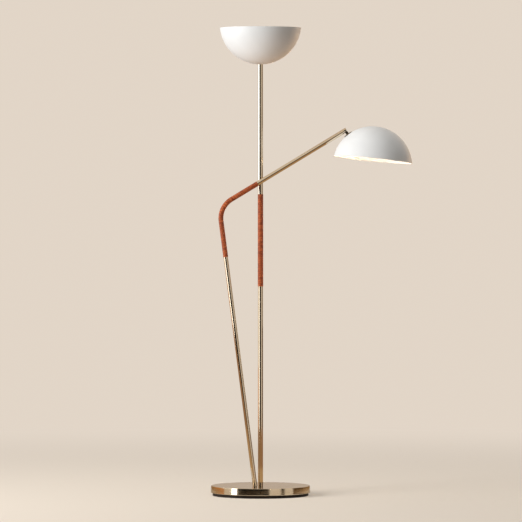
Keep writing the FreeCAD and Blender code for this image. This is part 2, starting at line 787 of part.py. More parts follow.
def make_tongue():
    """Flat tongue with a round eye, a shoulder on the seat disc and a hollow stud through the shade."""
    half = "(tongue_width / 2)"
    shoulder = "(neck_reach - disc_thickness)"
    tongue = new_body("knuckle_tongue")
    outline = sketch_on(tongue, "XZ_Plane")
    draw(outline, [
        (half, f"-{shoulder}"),
        (half, "0"),
        ("0", half),
        (f"-{half}", "0"),
        (f"-{half}", f"-{shoulder}"),
    ], {1: ("0", "0"), 2: ("0", "0")})
    blade = tongue.newObject("PartDesign::Pad", "Blade")
    blade.Profile = outline
    blade.SideType = "Symmetric"
    bind(blade, Length="tongue_thickness")
    collar = tongue.newObject("PartDesign::AdditiveCylinder", "Shoulder")
    bind(collar, Radius="shoulder_diameter / 2", Height="shoulder_height")
    place(collar, z=f"-{shoulder}")
    stud_bottom = f"({NECK_NUT_BOTTOM} + holder_wall + stud_tail)"
    stud = tongue.newObject("PartDesign::AdditiveCylinder", "Stud")
    bind(stud, Radius="neck_stud_diameter / 2", Height=f"{stud_bottom} - {shoulder}")
    place(stud, z=f"-{stud_bottom}")
    bore(tongue, "neck_bore / 2", f"{stud_bottom} - neck_bore_top", z=f"-{stud_bottom}")
    bore(tongue, "neck_bore / 2", "2 * tongue_width", x="-tongue_width", z="-neck_bore_top - neck_bore / 4",
         turn="90")
    drill(tongue, "XZ_Plane", "0", "0", "pivot_diameter + 2 * running_fit", side="Symmetric")
    on_neck(tongue, "0")


def make_pivot_screw():
    """Slotted screw across the barrel; its head is let into the front cheek."""
    seat = "(arm_diameter / 2 - pivot_head_sink)"
    screw = turned("pivot_screw", [
        ("0", "0"),
        ("pivot_diameter / 2", "0"),
        ("pivot_diameter / 2", f"{seat} + arm_diameter / 2 - stud_tail"),
        ("pivot_head_diameter / 2", f"{seat} + arm_diameter / 2 - stud_tail"),
        ("pivot_head_diameter / 2", f"{seat} + arm_diameter / 2 - stud_tail + pivot_head_height"),
        ("0", f"{seat} + arm_diameter / 2 - stud_tail + pivot_head_height"),
    ])
    slot = screw.newObject("PartDesign::SubtractiveBox", "DriverSlot")
    bind(slot, Length="pivot_slot_width", Width="2 * pivot_head_diameter", Height="pivot_head_height")
    place(slot, "-pivot_slot_width / 2", "-pivot_head_diameter",
          f"{seat} + arm_diameter / 2 - stud_tail + pivot_head_height / 2")
    place(screw, PIVOT_X, f"arm_diameter / 2 - stud_tail - {FRONT_TUBE}", PIVOT_Z, "90", "1; 0; 0")


def make_reading_shade():
    """White spun shade hung off its apex, with a brass seat disc outside and a washer and nut inside."""
    rim = "(reading_radius - reading_height)"
    inside = "(reading_radius - reading_wall)"
    shade = turned("reading_shade", [
        (f"sqrt(reading_radius ^ 2 - {rim} ^ 2)", rim),
        ("0", "reading_radius"),
        ("0", inside),
        (f"sqrt({inside} ^ 2 - {rim} ^ 2)", rim),
    ], {0: ("0", "0"), 2: ("0", "0")})
    hole = "(neck_stud_diameter / 2 + running_fit)"
    bore(shade, hole, "2 * reading_radius", turn=f"-{OFF_APEX}")
    on_neck(shade, "(neck_reach + reading_radius)", OFF_APEX, "reading_turn")

    seat = "(reading_radius + seat_gap)"
    disc_radius = "(disc_diameter / 2)"
    seat_edge = f"(sqrt({seat} ^ 2 - {disc_radius} ^ 2) - reading_radius)"
    disc = turned("reading_seat_disc", [
        (disc_radius, seat_edge),
        (hole, f"sqrt({seat} ^ 2 - {hole} ^ 2) - reading_radius"),
        (hole, "disc_thickness - washer_play"),
        ("disc_hub_diameter / 2", "disc_thickness - washer_play"),
        (f"{disc_radius} - disc_edge_chamfer", f"{seat_edge} + disc_edge"),
        (disc_radius, f"{seat_edge} + disc_edge - disc_edge_chamfer"),
    ], {0: ("0", "-reading_radius")})
    on_neck(disc, "neck_reach")

    under = f"({inside} - swivel_gap)"
    washer_radius = "(reading_washer_diameter / 2)"
    washer_hole = "(neck_stud_diameter / 2 + slip_fit)"
    washer_bottom = f"(neck_reach - {NECK_WASHER_BOTTOM})"
    washer = turned("reading_washer", [
        (washer_hole, washer_bottom),
        (washer_radius, washer_bottom),
        (washer_radius, f"sqrt({under} ^ 2 - {washer_radius} ^ 2) - reading_radius"),
        (washer_hole, f"sqrt({under} ^ 2 - {washer_hole} ^ 2) - reading_radius"),
    ], {2: ("0", "-reading_radius")})
    on_neck(washer, "neck_reach")
    nut = hex_nut("reading_nut", "reading_nut_flats", "reading_nut_thickness", washer_hole)
    on_neck(nut, NECK_NUT_BOTTOM)


def make_light(light, thread, put):
    """Lampholder, switch knob and bulb, standing along +Z from the nut; put gives them their place."""
    radius = f"({light}_holder_diameter / 2)"
    height = f"{light}_holder_height"
    hole = f"({thread} / 2 + slip_fit)"
    put(turned(f"{light}_holder_cap", [
        (hole, "0"),
        (f"{radius} - holder_round", "0"),
        (radius, "holder_round"),
        (radius, "holder_cap_height"),
        (f"{radius} - holder_wall", "holder_cap_height"),
        (f"{radius} - holder_wall", "holder_round"),
        (f"{radius} - holder_round", "holder_wall"),
        (hole, "holder_wall"),
    ], {1: (f"{radius} - holder_round", "holder_round"), 5: (f"{radius} - holder_round", "holder_round")}))

    shell = f"({radius} - holder_wall - slip_fit)"
    shaft_hole = "(knob_shaft_diameter / 2 + running_fit)"
    casing = turned(f"{light}_holder_shell", [
        (f"{shell} - holder_wall", "holder_chamber"),
        (shell, "holder_chamber"),
        (shell, f"{height} - holder_lip"),
        (f"{shell} + holder_lip / 2", f"{height} - holder_lip / 2"),
        (shell, height),
        (f"{shell} - holder_wall", height),
    ])
    bore(casing, shaft_hole, radius, z="knob_height", turn="90")
    put(casing)

    core = f"({shell} - holder_wall - slip_fit)"
    socket = f"({light}_thread_diameter / 2 + seat_gap)"
    floor = f"({height} - {light}_thread_depth)"
    insert = turned(f"{light}_holder_insert", [
        ("0", "holder_chamber"),
        (core, "holder_chamber"),
        (core, f"{height} - holder_lip"),
        (socket, f"{height} - holder_lip"),
        (socket, floor),
        ("0", floor),
    ])
    shaft_end = f"({core} - knob_shaft_depth)"
    bore(insert, shaft_hole, radius, x=shaft_end, z="knob_height", turn="90")
    put(insert)
    make_knob(f"{light}_switch_knob", radius, put)
    make_bulb(light, floor, height, put)


def make_knob(label, holder_radius, put):
    """Small waisted knob on a shaft that runs in the lampholder's side."""
    shaft = "(knob_shaft_diameter / 2)"
    foot = f"({holder_radius} - holder_wall + knob_stand_off)"
    grip = "(knob_diameter / 2)"
    knob = turned(label, [
        ("0", f"{foot} - knob_stand_off - holder_wall - knob_shaft_depth"),
        (shaft, f"{foot} - knob_stand_off - holder_wall - knob_shaft_depth"),
        (shaft, foot),
        (f"{grip} - knob_waist / 2", foot),
        (f"{grip} - knob_waist / 2", f"{foot} + knob_waist"),
        (grip, f"{foot} + 2 * knob_waist"),
        (grip, f"{foot} + knob_length - knob_waist / 2"),
        (f"{grip} - knob_waist / 2", f"{foot} + knob_length"),
        ("0", f"{foot} + knob_length"),
    ])
    put(knob, "knob_height", "90")


def make_bulb(light, floor, height, put):
    """Screw cap in the holder and a round hollow glass that widens from it."""
    neck = f"({light}_thread_diameter / 2)"
    put(turned(f"{light}_bulb_cap", [
        ("0", f"{floor} + slip_fit"),
        (f"{neck} / 2", f"{floor} + slip_fit"),
        (neck, f"{floor} + contact_height"),
        (neck, height),
        ("0", height),
    ]))
    globe = f"({light}_bulb_diameter / 2)"
    centre = f"({height} + {light}_bulb_length - {globe})"
    shoulder = f"{light}_bulb_shoulder"
    inside = f"({globe} - bulb_wall)"
    put(turned(f"{light}_bulb_glass", [
        (f"{neck} - bulb_wall", height),
        (neck, height),
        (f"{globe} * cos({shoulder})", f"{centre} - {globe} * sin({shoulder})"),
        ("0", f"{centre} + {globe}"),
        ("0", f"{centre} + {inside}"),
        (f"{inside} * cos({shoulder})", f"{centre} - {inside} * sin({shoulder})"),
    ], {2: ("0", centre), 4: ("0", centre)}))


def on_bowl_nut(feature, height="0", turn="0"):
    on_stem(feature, f"{STEM_TOP} + {BOWL_NUT_TOP} + {height}", turn)


def on_neck_nut(feature, height="0", turn="0"):
    on_neck(feature, f"({NECK_NUT_BOTTOM} + {height})", f"180 + {turn}")


make_base()
make_foot_fixing("stem", "0", "0")
make_foot_fixing("leg", "-leg_foot_left", f"-{FRONT_TUBE}")
make_stem()
make_bent_tube()
make_bowl()
make_light("bowl", "stud_diameter", on_bowl_nut)
make_knuckle()
make_reading_shade()
make_light("reading", "neck_stud_diameter", on_neck_nut)
document.recompute()

# ---- Checks and files ----

for item in document.Objects:
    if "Invalid" in item.State or "Error" in item.State:
        raise ValueError(f"{item.Label} failed: {item.State}")
for part in parts:
    if part.Shape.isNull() or not part.Shape.isValid() or not part.Shape.Solids:
        raise ValueError(f"{part.Label} is not a valid solid")

os.makedirs("parts", exist_ok=True)
for part in parts:
    part.Shape.exportStep(f"parts/{part.Label}.step")
print(f"{len(parts)} parts written")
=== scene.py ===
import json
import math

import bpy
import numpy as np
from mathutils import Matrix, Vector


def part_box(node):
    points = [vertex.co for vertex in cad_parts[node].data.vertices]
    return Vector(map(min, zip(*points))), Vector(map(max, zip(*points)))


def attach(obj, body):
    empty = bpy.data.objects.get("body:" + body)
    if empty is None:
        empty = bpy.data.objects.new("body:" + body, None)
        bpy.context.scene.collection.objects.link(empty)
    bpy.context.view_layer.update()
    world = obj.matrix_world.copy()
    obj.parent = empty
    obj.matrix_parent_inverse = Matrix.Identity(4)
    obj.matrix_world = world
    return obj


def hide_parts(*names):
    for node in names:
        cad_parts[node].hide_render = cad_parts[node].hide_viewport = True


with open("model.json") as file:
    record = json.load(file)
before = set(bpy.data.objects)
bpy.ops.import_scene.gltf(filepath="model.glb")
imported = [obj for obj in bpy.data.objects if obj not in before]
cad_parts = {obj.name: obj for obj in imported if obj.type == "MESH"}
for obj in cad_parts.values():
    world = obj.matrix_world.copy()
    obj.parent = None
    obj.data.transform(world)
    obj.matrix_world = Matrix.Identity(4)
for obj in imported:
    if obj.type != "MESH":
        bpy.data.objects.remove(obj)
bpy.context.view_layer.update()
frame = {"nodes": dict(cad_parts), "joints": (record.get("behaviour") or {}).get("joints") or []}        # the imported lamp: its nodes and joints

lamp = bpy.context.scene


# ---- Camera ----
# A long lens sixteen metres in front of the lamp, a little above its middle. It looks slightly down,
# so the base shows as a thin oval and the bowl's rim as a thin arch.

DISTANCE = 16.0
EYE = (0.0019, -DISTANCE, 1.1505)
AIM = (0.0019, 0.0, 0.8831)
FRAME_WIDTH = 1.965
SENSOR = 36
SIGHT = 400

view = bpy.data.cameras.new("camera")
view.sensor_width = SENSOR
view.lens = SENSOR * DISTANCE / FRAME_WIDTH
view.clip_end = SIGHT
camera = bpy.data.objects.new("camera", view)
camera.location = EYE
camera.rotation_euler = (math.pi / 2 - math.atan2(EYE[2] - AIM[2], AIM[1] - EYE[1]), 0, 0)
lamp.collection.objects.link(camera)
lamp.camera = camera
lamp.view_settings.view_transform = "Standard"


# ---- Studio: floor, backdrop and lights ----
# A pale paper floor runs into a backdrop of its own colour, so no horizon shows. A tall soft light stands
# front left, weak ones front right and overhead, and warm ones behind and below. White, dark and brown
# screens and boards lie round the lamp, where only polished surfaces show them.

PAPER = (0.760, 0.668, 0.573, 1)
LIT_PAPER = (0.60, 0.53, 0.45, 1)
PAPER_LIFT = 0.36
FADE_START = 0.7
FADE_END = 4.5
FLOOR_REACH = 150
SHADE_AIR = (1.0, 0.965, 0.90, 1)
AIR_STRENGTH = 0.20


def new_material(name):
    """A node material with no nodes yet."""
    material = bpy.data.materials.new(name)
    material.use_nodes = True
    material.node_tree.nodes.clear()
    return material


def add_node(tree, kind, wires=(), **settings):
    """A node with its settings; wires gives its sockets a value each, or an output to be linked."""
    node = tree.nodes.new("ShaderNode" + kind)
    for name, value in settings.items():
        setattr(node, name, value)
    for socket, source in dict(wires).items():
        if isinstance(source, bpy.types.NodeSocket):
            tree.links.new(source, node.inputs[socket])
        else:
            node.inputs[socket].default_value = source
    return node


def math_node(tree, operation, *values):
    """The output of one operation on numbers or sockets."""
    return add_node(tree, "Math", enumerate(values), operation=operation).outputs[0]


def seen_or_mirrored(tree):
    """1 for a ray from the camera, off metal or through glass, and 0 for a ray that lights a surface."""
    path = add_node(tree, "LightPath").outputs
    either = math_node(tree, "MAXIMUM", path["Is Camera Ray"], path["Is Glossy Ray"])
    return math_node(tree, "MAXIMUM", either, path["Is Transmission Ray"])


def mesh_piece(name, points, faces, sharp_from=None):
    """A mesh object at the origin with its place in its points.

    It is flat, or smooth but for the edges where it turns by more than an angle in degrees."""
    mesh = bpy.data.meshes.new(name)
    mesh.from_pydata(points, [], faces)
    if sharp_from:
        mesh.shade_smooth()
        mesh.set_sharp_from_angle(angle=math.radians(sharp_from))
    piece = bpy.data.objects.new(name, mesh)
    lamp.collection.objects.link(piece)
    return piece


air = bpy.data.worlds.new("studio_air")
air.use_nodes = True
air.node_tree.nodes.clear()
lamp.world = air
tree = air.node_tree
room = add_node(tree, "Background", {"Color": SHADE_AIR, "Strength": AIR_STRENGTH})
backdrop = add_node(tree, "Background", {"Color": PAPER, "Strength": 1.0})
both = add_node(tree, "MixShader", {0: seen_or_mirrored(tree), 1: room.outputs[0], 2: backdrop.outputs[0]})
add_node(tree, "OutputWorld", {"Surface": both.outputs[0]})

paper = new_material("paper_floor")
tree = paper.node_tree
place = add_node(tree, "TexCoord").outputs["Object"]
away = add_node(tree, "VectorMath", {0: place}, operation="LENGTH").outputs["Value"]
far = add_node(tree, "MapRange", {"Value": away, "From Min": FADE_START, "From Max": FADE_END},
               interpolation_type="SMOOTHSTEP").outputs[0]
lit = add_node(tree, "BsdfDiffuse", {"Color": LIT_PAPER, "Roughness": 0.5})
lift = math_node(tree, "MULTIPLY", seen_or_mirrored(tree), PAPER_LIFT)
lift = add_node(tree, "Emission", {"Color": PAPER, "Strength": lift})
near_floor = add_node(tree, "AddShader", {0: lit.outputs[0], 1: lift.outputs[0]})
far_floor = add_node(tree, "Emission", {"Color": PAPER, "Strength": seen_or_mirrored(tree)})
surface = add_node(tree, "MixShader", {0: far, 1: near_floor.outputs[0], 2: far_floor.outputs[0]})
add_node(tree, "OutputMaterial", {"Surface": surface.outputs[0]})

corners = [(-FLOOR_REACH, -FLOOR_REACH, 0), (FLOOR_REACH, -FLOOR_REACH, 0),
           (FLOOR_REACH, FLOOR_REACH, 0), (-FLOOR_REACH, FLOOR_REACH, 0)]
floor = mesh_piece("floor", corners, [(0, 1, 2, 3)])
floor.data.materials.append(paper)


def soft_light(name, azimuth, distance, height, size, watts, colour=(1, 1, 1)):
    """A rectangular lamp that faces the lamp's axis; its azimuth goes from the front towards the right."""
    light = bpy.data.lights.new(name, "AREA")
    light.shape = "RECTANGLE"
    light.size, light.size_y = size
    light.energy = watts
    light.color = colour
    holder = bpy.data.objects.new(name, light)
    turn = math.radians(azimuth)
    holder.location = (distance * math.sin(turn), -distance * math.cos(turn), height)
    holder.rotation_euler = (math.pi / 2, 0, turn)
    holder.visible_camera = holder.visible_glossy = False
    lamp.collection.objects.link(holder)
    return holder


soft_light("key_light", -58, 5.0, 1.75, (2.9, 3.5), 302, (0.98, 0.99, 1.0))
soft_light("right_strip", 33, 4.2, 1.7, (1.3, 3.2), 7)
soft_light("side_strip", 67, 4.2, 1.7, (1.4, 3.2), 6)
warm = soft_light("warm_back_light", 138, 3.5, 1.3, (1.1, 1.8), 62, (1.0, 0.60, 0.30))
# The warm light reaches everything but the floor.
lit_by_warm = bpy.data.collections.new("all_but_floor")
lit_by_warm.objects.link(floor)
lit_by_warm.collection_objects[0].light_linking.link_state = "EXCLUDE"
warm.light_linking.receiver_collection = lit_by_warm
bounce = soft_light("floor_bounce", 95, 0.9, 0.03, (0.8, 0.8), 8, (1.0, 0.52, 0.22))
bounce.rotation_euler = (math.pi, 0, 0)
overhead = soft_light("overhead_light", 0, 0.01, 4.4, (3.2, 3.2), 38)
overhead.rotation_euler = (0, 0, 0)


RING = 4.3
SCREEN_TOP = 2.3
STEM_BREAK = 1.1
BOARD_HEIGHT = 0.004
SCREEN_STEPS = 60


def mirror_screen(name, start, end, near, far, foot, top, colour):
    """Part of a ring round the lamp, from one azimuth to another, that only polished surfaces show.

    It runs from the radius near at height foot to the radius far at height top, so it stands or lies."""
    turn = np.radians(np.linspace(start, end, SCREEN_STEPS))
    way = np.stack([np.sin(turn), -np.cos(turn)], 1)
    inner = np.column_stack([near * way, np.full(SCREEN_STEPS, foot)])
    outer = np.column_stack([far * way, np.full(SCREEN_STEPS, top)])
    first = np.arange(SCREEN_STEPS - 1)
    faces = np.stack([first, first + 1, first + SCREEN_STEPS + 1, first + SCREEN_STEPS], 1)
    screen = mesh_piece(name, np.concatenate([inner, outer]).tolist(), faces.tolist())
    cloth = new_material(name)
    tone = add_node(cloth.node_tree, "Emission", {"Color": (*colour, 1), "Strength": 1})
    add_node(cloth.node_tree, "OutputMaterial", {"Surface": tone.outputs[0]})
    screen.data.materials.append(cloth)
    screen.visible_camera = screen.visible_diffuse = screen.visible_shadow = False
    screen.visible_transmission = False


mirror_screen("low_white_card", -69, -56, RING, RING, 0, STEM_BREAK, (5.4, 5.25, 5.0))
mirror_screen("high_white_card", -105, -56, RING, RING, STEM_BREAK, SCREEN_TOP, (2.7, 2.95, 3.3))
mirror_screen("grey_card", -8, 4, 4.2, 4.2, 1.32, SCREEN_TOP, (0.30, 0.27, 0.23))
mirror_screen("dark_screen", -55.9, 20, RING, RING, 0, SCREEN_TOP, (0.005, 0.004, 0.003))
mirror_screen("narrow_dark_screen", 48, 56.5, RING, RING, 0, SCREEN_TOP, (0.010, 0.006, 0.003))
mirror_screen("dark_brown_screen", 80, 118, RING, RING, 0, SCREEN_TOP, (0.090, 0.043, 0.012))
mirror_screen("brown_screen_right", 118.1, 165, RING, RING, 0, 0.5, (0.20, 0.10, 0.035))
mirror_screen("brown_screen_left", -165, -92, RING, RING, 0, 0.3, (0.64, 0.27, 0.08))
mirror_screen("near_boards", 0, 360, 0.55, 1.5, BOARD_HEIGHT, BOARD_HEIGHT, (0.50, 0.33, 0.17))
mirror_screen("far_boards", 0, 360, 1.5, 4.28, BOARD_HEIGHT, BOARD_HEIGHT, (0.34, 0.19, 0.095))


# ---- Base ----
# A cast iron disc under a spun brass cover, closed below by a screwed plate, on a black rubber ring.
# The cover is drawn over a form, so its rim leans in by a few degrees and rolls over into the flat top.


def finish(name, colour, metallic=0.0, roughness=0.5, **sockets):
    """A material around one shader; sockets are its own values, by their names with _ for a space."""
    material = new_material(name)
    shader = add_node(material.node_tree, "BsdfPrincipled", {
        "Base Color": (*colour, 1), "Metallic": metallic, "Roughness": roughness})
    for socket, value in sockets.items():
        shader.inputs[socket.replace("_", " ")].default_value = value
    add_node(material.node_tree, "OutputMaterial", {"Surface": shader.outputs[0]})
    return material, shader


def spot(tree, scale, detail=2.0, stretch=(1, 1, 1)):
    """Noise from 0 to 1 on the piece's own coordinates, in spots of about one scale-th of a metre."""
    where = add_node(tree, "TexCoord").outputs["Object"]
    where = add_node(tree, "Mapping", {"Vector": where, "Scale": stretch}).outputs[0]
    return add_node(tree, "TexNoise", {"Vector": where, "Scale": scale, "Detail": detail}).outputs["Fac"]


def spread(tree, value, low, high, start=0.3, end=0.7):
    """A value between start and end, stretched to between low and high."""
    return add_node(tree, "MapRange", {
        "Value": value, "From Min": start, "From Max": end, "To Min": low, "To Max": high}).outputs[0]


def blend_colours(tree, value, dark, light):
    """The colour a share of the way from dark to light."""
    mix = add_node(tree, "Mix", {"Factor": value}, data_type="RGBA")
    for socket, colour in ((6, dark), (7, light)):
        if isinstance(colour, bpy.types.NodeSocket):
            tree.links.new(colour, mix.inputs[socket])
        else:
            mix.inputs[socket].default_value = (*colour, 1)
    return mix.outputs[2]


def mottled(tree, scale, detail, dark, light):
    """A colour that wanders from dark to light in soft spots."""
    return blend_colours(tree, spread(tree, spot(tree, scale, detail), 0, 1), dark, light)


def relief(material, shader, height, depth, strength=1.0):
    """Raises the surface by a height from 0 to 1 times a depth in metres."""
    bump = add_node(material.node_tree, "Bump", {"Height": height, "Distance": depth, "Strength": strength})
    material.node_tree.links.new(bump.outputs[0], shader.inputs["Normal"])


def wire(material, shader, **sources):
    """Links sockets of the shader to outputs, by their names with _ for a space."""
    for socket, source in sources.items():
        material.node_tree.links.new(source, shader.inputs[socket.replace("_", " ")])


def give(material, *nodes):
    """Gives CAD nodes or new pieces their material."""
    for node in nodes:
        piece = frame["nodes"][node] if isinstance(node, str) else node
        if not piece.material_slots:
            piece.data.materials.append(material)
        for held in piece.material_slots:
            held.link = "OBJECT"
            held.material = material


def add_piece(piece, material, body, slot, *stands_for):
    """Finishes a new piece: its material, its body and the nodes that it stands for, which it hides. The slot
    is not used.
    """
    give(material, piece)
    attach(piece, body)
    if stands_for:
        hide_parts(*stands_for)


brass, brass_shader = finish("polished_brass", (0.75, 0.66, 0.52), 1.0, 0.08,
                             Specular_Tint=(0.82, 0.73, 0.60, 1))
tree = brass.node_tree
wire(brass, brass_shader,
     Base_Color=mottled(tree, 9, 3, (0.72, 0.62, 0.47), (0.78, 0.69, 0.56)),
     Roughness=spread(tree, spot(tree, 12, 3), 0.05, 0.08))
relief(brass, brass_shader, spot(tree, 7, 1), 0.00008)

spun_brass, spun_shader = finish("spun_brass", (0.69, 0.59, 0.44), 1.0, 0.13,
                                 Specular_Tint=(0.62, 0.54, 0.46, 1))
tree = spun_brass.node_tree
from_middle = add_node(tree, "SeparateXYZ", {0: add_node(tree, "TexCoord").outputs["Object"]}).outputs
from_middle = add_node(tree, "CombineXYZ", {0: from_middle[0], 1: from_middle[1]}).outputs[0]
from_middle = add_node(tree, "VectorMath", {0: from_middle}, operation="LENGTH").outputs["Value"]
tool_place = add_node(tree, "CombineXYZ", {0: from_middle}).outputs[0]
tool_marks = add_node(tree, "TexNoise", {"Vector": tool_place, "Scale": 800, "Detail": 3}).outputs["Fac"]
wear = math_node(tree, "ADD", math_node(tree, "MULTIPLY", tool_marks, 0.5),
                 math_node(tree, "MULTIPLY", spot(tree, 14, 5), 0.5))
wire(spun_brass, spun_shader,
     Base_Color=mottled(tree, 9, 3, (0.67, 0.57, 0.42), (0.73, 0.64, 0.50)),
     Roughness=spread(tree, wear, 0.09, 0.18, 0.35, 0.65))
relief(spun_brass, spun_shader, tool_marks, 0.000006)


def turned_ring(profile, turns=192):
    """A closed profile of (radius, height) pairs carried once round the z axis."""
    radius, height = np.array(profile, float).T
    angle = np.linspace(0, 2 * math.pi, turns, endpoint=False)
    points = np.stack([
        np.outer(np.cos(angle), radius), np.outer(np.sin(angle), radius),
        np.broadcast_to(height, (turns, len(profile)))], 2).reshape(-1, 3)
    around, along = np.meshgrid(np.arange(turns), np.arange(len(profile)), indexing="ij")
    after, above = (around + 1) % turns, (along + 1) % len(profile)
    count = len(profile)
    faces = np.stack([
        around * count + along, after * count + along,
        after * count + above, around * count + above], 2).reshape(-1, 4)
    return points, faces


def arc_points(centre, radius, start, end, count):
    """Points on an arc round a centre, from one angle in degrees to another."""
    angle = np.radians(np.linspace(start, end, count))
    return list(zip(centre[0] + radius * np.cos(angle), centre[1] + radius * np.sin(angle)))


low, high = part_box("base_cover")
RIM_LEAN_DEGREES = 3.4
TOP_ROLL = 0.0017
COVER_WALL = 0.0011
RIM_PLAY = 0.0001
FOOT_ROUND = 0.002
FOOT_DRAW = 0.0002
EDGE_HEIGHT = 0.0004
EDGE_WIDTH = 0.0003
TOP_RINGS = (0.178, 0.15, 0.08)
HOLE_RADIUS = 0.0055
rim_top = high.z - TOP_ROLL
rim_foot = high.x - RIM_PLAY
lean_in = (rim_top - low.z) * math.tan(math.radians(RIM_LEAN_DEGREES))
roll_centre = (rim_foot - lean_in - TOP_ROLL, rim_top)
foot_round = low.z + FOOT_ROUND
outside = [(rim_foot, low.z + EDGE_HEIGHT), (rim_foot - FOOT_DRAW, foot_round)]
outside += [(rim_foot - lean_in * part, low.z + (rim_top - low.z) * part) for part in (0.25, 0.5, 0.75)]
outside += arc_points(roll_centre, TOP_ROLL, RIM_LEAN_DEGREES, 90, 9)
outside += [(radius, high.z) for radius in (*TOP_RINGS, HOLE_RADIUS)]
inside = [(HOLE_RADIUS, high.z - COVER_WALL), (roll_centre[0], high.z - COVER_WALL)]
inside += arc_points(roll_centre, TOP_ROLL - COVER_WALL, 80, 10, 4)
inside += [(rim_foot - COVER_WALL - FOOT_DRAW, foot_round), (rim_foot - COVER_WALL, low.z),
           (rim_foot - EDGE_WIDTH, low.z)]
points, faces = turned_ring(outside + inside)
cover = mesh_piece("spun_base_cover", points.tolist(), faces.tolist(), sharp_from=50)
add_piece(cover, spun_brass, "lamp_frame", "polished_brass", "base_cover")

rubber, rubber_shader = finish("black_rubber", (0.010, 0.007, 0.005), 0, 0.6, Specular_IOR_Level=0.25)
tree = rubber.node_tree
wire(rubber, rubber_shader, Roughness=spread(tree, spot(tree, 300, 3), 0.5, 0.75),
     Base_Color=mottled(tree, 25, 3, (0.013, 0.008, 0.005), (0.021, 0.013, 0.008)))
relief(rubber, rubber_shader, spot(tree, 1500, 2), 0.00006)
give(rubber, "foot_ring", "cord_inlet_bush")

iron, iron_shader = finish("cast_iron", (0.05, 0.05, 0.052), 0.6, 0.6)
tree = iron.node_tree
wire(iron, iron_shader, Roughness=spread(tree, spot(tree, 200, 4), 0.5, 0.8),
     Base_Color=mottled(tree, 80, 4, (0.035, 0.034, 0.034), (0.075, 0.070, 0.066)))
relief(iron, iron_shader, spot(tree, 700, 4), 0.0003)
give(iron, "base_weight")

steel, steel_shader = finish("plated_steel", (0.55, 0.56, 0.57), 1.0, 0.3)
tree = steel.node_tree
wire(steel, steel_shader, Roughness=spread(tree, spot(tree, 260, 3), 0.22, 0.42),
     Base_Color=mottled(tree, 30, 3, (0.47, 0.47, 0.46), (0.62, 0.63, 0.65)))
relief(steel, steel_shader, spot(tree, 900, 2, (1, 1, 6)), 0.00003)
give(steel, "base_plate", "plate_screws")

bakelite, bakelite_shader = finish("black_plastic", (0.028, 0.024, 0.022), 0, 0.32)
tree = bakelite.node_tree
wire(bakelite, bakelite_shader, Roughness=spread(tree, spot(tree, 220, 3), 0.25, 0.42),
     Base_Color=mottled(tree, 60, 2, (0.022, 0.018, 0.016), (0.036, 0.030, 0.027)))
relief(bakelite, bakelite_shader, spot(tree, 2200, 1), 0.00002)
give(bakelite, "junction_block")


# ---- Feet of the tubes ----
# Under each tube a hollow plated stud runs down through the base, with a washer and a nut in the recess.
# A turned plug inside the tube's end holds the stud.

give(steel, "stem_foot_stud", "stem_foot_washer", "stem_foot_nut", "stem_foot_plug",
     "leg_foot_stud", "leg_foot_washer", "leg_foot_nut", "leg_foot_plug")


# ---- Stem ----
# Three lengths of polished brass tube stand on each other over hollow steel couplers. One white-sheathed
# lead runs up inside them to the bowl's light, and a thinner one runs through the leg and arm.

give(brass, "stem_lower_tube", "stem_middle_tube", "stem_upper_tube")
give(steel, "stem_lower_coupler", "stem_upper_coupler", "stem_top_plug")

sheath, sheath_shader = finish("white_sheath", (0.80, 0.80, 0.77), 0, 0.45)
tree = sheath.node_tree
wire(sheath, sheath_shader, Roughness=spread(tree, spot(tree, 150, 2), 0.38, 0.55),
     Base_Color=mottled(tree, 40, 2, (0.76, 0.76, 0.72), (0.84, 0.84, 0.81)))
relief(sheath, sheath_shader, spot(tree, 1200, 1), 0.00003)
give(sheath, "stem_lead", "arm_lead")


# ---- Leather wraps ----
# A narrow lace of tan calf leather is wound tightly round the tube, each turn against the last.
# Its turns differ a little in width, height and tone, and both ends are trimmed square.

LACE = 0.0076
UNEVENNESS = 0.30
LINING_STEP = 8


def unit(vectors):
    """Vectors brought to length 1."""
    return vectors / np.linalg.norm(vectors, axis=-1, keepdims=True)


def sway(where, seed, *waves):
    """A smooth uneven value near -1 to 1: a sum of sines of the given wave counts per unit."""
    sines = [np.sin(2 * math.pi * where * wave + seed * (number + 1.7)) for number, wave in enumerate(waves)]
    return sum(sines) / len(waves)


